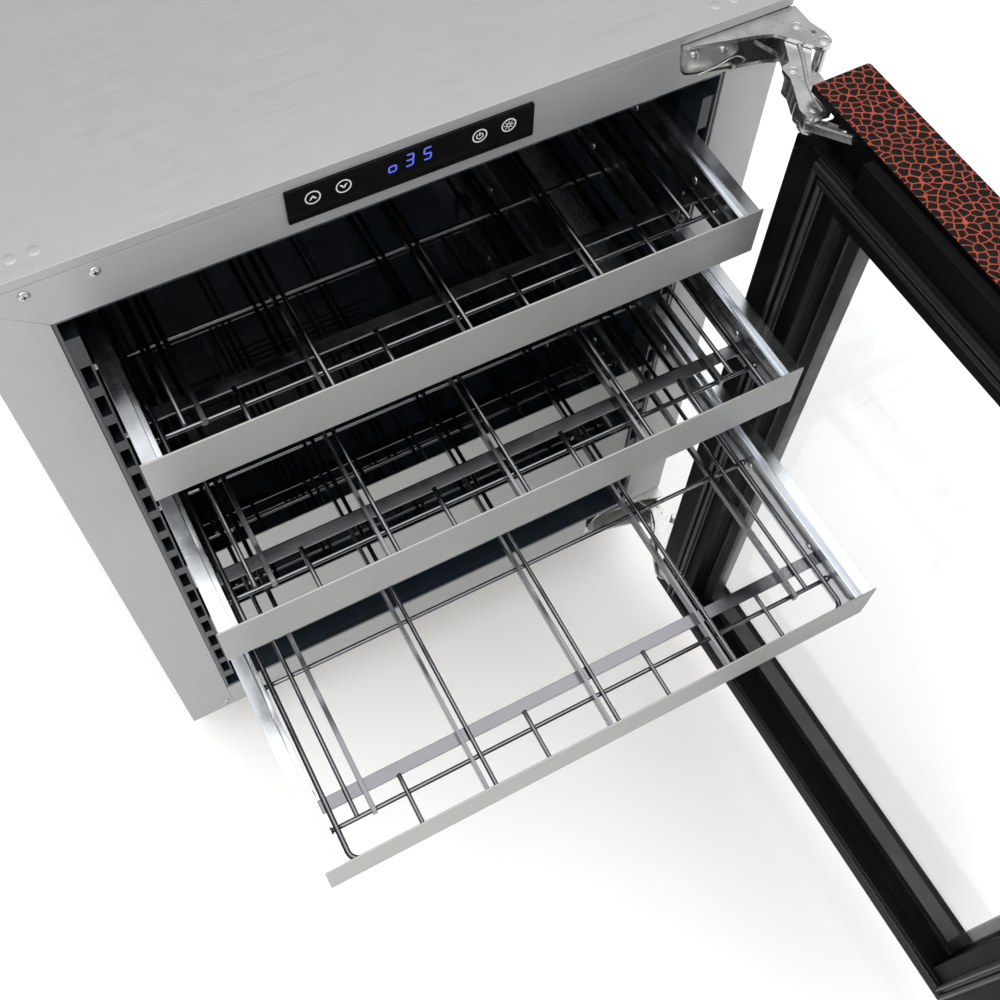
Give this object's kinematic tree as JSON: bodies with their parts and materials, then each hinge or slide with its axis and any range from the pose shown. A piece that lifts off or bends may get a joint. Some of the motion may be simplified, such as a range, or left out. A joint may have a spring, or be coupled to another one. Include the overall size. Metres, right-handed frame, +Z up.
{
  "type": "wine cooler",
  "caption": "Undercounter wine cooler with an open panelled glass door on scissor hinges and pull-out wire bottle shelves.",
  "frame": {"origin": "on the floor, midway between the cabinet's sides, in the plane of its front face", "axes": "+X to the right, +Y from the front face into the cabinet, +Z up"},
  "size_m": [0.6631, 1.211, 0.8708],
  "materials": {
    "grey_paint": "satin",
    "back_steel": "satin",
    "foam": "matte",
    "liner_black": "satin",
    "strip_black": "satin",
    "slide_steel": "satin",
    "black_glass": "gloss",
    "board": "satin",
    "lamp": "satin",
    "coil_metal": "satin",
    "black_iron": "gloss",
    "copper": "satin",
    "hinge_steel": "satin",
    "bright_steel": "polished",
    "rack_wire": "polished",
    "shelf_front": "satin",
    "shelf_rail": "polished",
    "pebble_panel": "satin",
    "pane": "polished",
    "spacer": "satin",
    "gasket": "matte"
  },
  "bodies": {
    "cabinet": {"top_panel": "grey_paint", "left_side_panel": "grey_paint", "right_side_panel": "grey_paint", "top_rail": "grey_paint", "bottom_rail": "grey_paint", "back_panel": "back_steel", "base_tray": "back_steel", "inner_liner": "liner_black", "insulation_foam": "foam", "kick_grille": "liner_black", "levelling_legs": "bright_steel", "compressor": "black_iron", "condenser_coil": "coil_metal", "condenser_fan_frame": "back_steel", "drain_pan": "liner_black", "power_inlet": "liner_black", "refrigerant_lines": "copper", "evaporator_cover": "liner_black", "evaporator_coil": "coil_metal", "evaporator_fan_motor": "black_iron", "control_panel": "black_glass", "control_board": "board", "light_bar": "lamp", "cabinet_screws": "bright_steel", "wall_strips": "strip_black", "fixed_slides": "slide_steel", "bottom_rack": "rack_wire", "hinge_housings": "hinge_steel"},
    "evaporator_fan": {"evaporator_fan_blade": "liner_black"},
    "condenser_fan": {"condenser_fan_blade": "liner_black"},
    "lower_levers": {"hinge_lower_levers": "hinge_steel"},
    "upper_levers": {"hinge_upper_levers": "hinge_steel"},
    "door": {"door_panel": "pebble_panel", "door_inner_frame": "liner_black", "inner_glass": "pane", "outer_glass": "pane", "glass_spacer": "spacer", "door_gasket": "gasket", "door_handle": "bright_steel", "door_hinge_brackets": "hinge_steel"},
    "shelf_1": {"shelf_1_front": "shelf_front", "shelf_1_side_rails": "shelf_rail", "shelf_1_rack": "rack_wire"},
    "middle_slides_1": {"shelf_1_middle_slides": "slide_steel"},
    "shelf_2": {"shelf_2_front": "shelf_front", "shelf_2_side_rails": "shelf_rail", "shelf_2_rack": "rack_wire"},
    "middle_slides_2": {"shelf_2_middle_slides": "slide_steel"},
    "shelf_3": {"shelf_3_front": "shelf_front", "shelf_3_side_rails": "shelf_rail", "shelf_3_rack": "rack_wire"},
    "middle_slides_3": {"shelf_3_middle_slides": "slide_steel"},
    "shelf_4": {"shelf_4_front": "shelf_front", "shelf_4_side_rails": "shelf_rail", "shelf_4_rack": "rack_wire"},
    "middle_slides_4": {"shelf_4_middle_slides": "slide_steel"},
    "shelf_5": {"shelf_5_front": "shelf_front", "shelf_5_side_rails": "shelf_rail", "shelf_5_rack": "rack_wire"},
    "middle_slides_5": {"shelf_5_middle_slides": "slide_steel"}
  },
  "joints": [
    {"name": "door_swing", "type": "hinge", "parent": "upper_levers", "child": "door", "pos_m": [0.2595, -0.089, 0.494], "axis": [0, 0, 1], "range_deg": [0, 9]},
    {"name": "upper_lever_swing", "type": "hinge", "parent": "cabinet", "child": "upper_levers", "pos_m": [0.2934, -0.0189, 0.494], "axis": [0, 0, 1], "range_deg": [0, 9]},
    {"name": "lower_lever_swing", "type": "hinge", "parent": "upper_levers", "child": "lower_levers", "pos_m": [0.2684, -0.0519, 0.494], "axis": [0, 0, 1], "range_deg": [-3.6, 0]},
    {"name": "shelf_1_slide", "type": "slide", "parent": "cabinet", "child": "shelf_1", "axis": [0, -1, 0], "range_m": [-0.095, 0.265]},
    {"name": "middle_slide_1", "type": "slide", "parent": "cabinet", "child": "middle_slides_1", "axis": [0, -1, 0], "range_m": [-0.0475, 0.1325]},
    {"name": "shelf_2_slide", "type": "slide", "parent": "cabinet", "child": "shelf_2", "axis": [0, -1, 0], "range_m": [-0.1842, 0.1758]},
    {"name": "middle_slide_2", "type": "slide", "parent": "cabinet", "child": "middle_slides_2", "axis": [0, -1, 0], "range_m": [-0.0921, 0.0879]},
    {"name": "shelf_3_slide", "type": "slide", "parent": "cabinet", "child": "shelf_3", "axis": [0, -1, 0], "range_m": [-0.3347, 0.0253]},
    {"name": "middle_slide_3", "type": "slide", "parent": "cabinet", "child": "middle_slides_3", "axis": [0, -1, 0], "range_m": [-0.16735, 0.01265]},
    {"name": "shelf_4_slide", "type": "slide", "parent": "cabinet", "child": "shelf_4", "axis": [0, -1, 0], "range_m": [0, 0.36]},
    {"name": "middle_slide_4", "type": "slide", "parent": "cabinet", "child": "middle_slides_4", "axis": [0, -1, 0], "range_m": [0, 0.18]},
    {"name": "shelf_5_slide", "type": "slide", "parent": "cabinet", "child": "shelf_5", "axis": [0, -1, 0], "range_m": [0, 0.36]},
    {"name": "middle_slide_5", "type": "slide", "parent": "cabinet", "child": "middle_slides_5", "axis": [0, -1, 0], "range_m": [0, 0.18]},
    {"name": "evaporator_fan_spin", "type": "hinge", "parent": "cabinet", "child": "evaporator_fan", "pos_m": [0, 0.397, 0.69], "axis": [0, 1, 0], "continuous": true},
    {"name": "condenser_fan_spin", "type": "hinge", "parent": "cabinet", "child": "condenser_fan", "pos_m": [0.11, 0.086, 0.068], "axis": [0, 1, 0], "continuous": true}
  ],
  "couplings": [
    {"joint": "upper_lever_swing", "follows": "door_swing", "ratio": 1},
    {"joint": "lower_lever_swing", "follows": "door_swing", "ratio": -0.4},
    {"joint": "middle_slide_1", "follows": "shelf_1_slide", "ratio": 0.5},
    {"joint": "middle_slide_2", "follows": "shelf_2_slide", "ratio": 0.5},
    {"joint": "middle_slide_3", "follows": "shelf_3_slide", "ratio": 0.5},
    {"joint": "middle_slide_4", "follows": "shelf_4_slide", "ratio": 0.5},
    {"joint": "middle_slide_5", "follows": "shelf_5_slide", "ratio": 0.5}
  ]
}
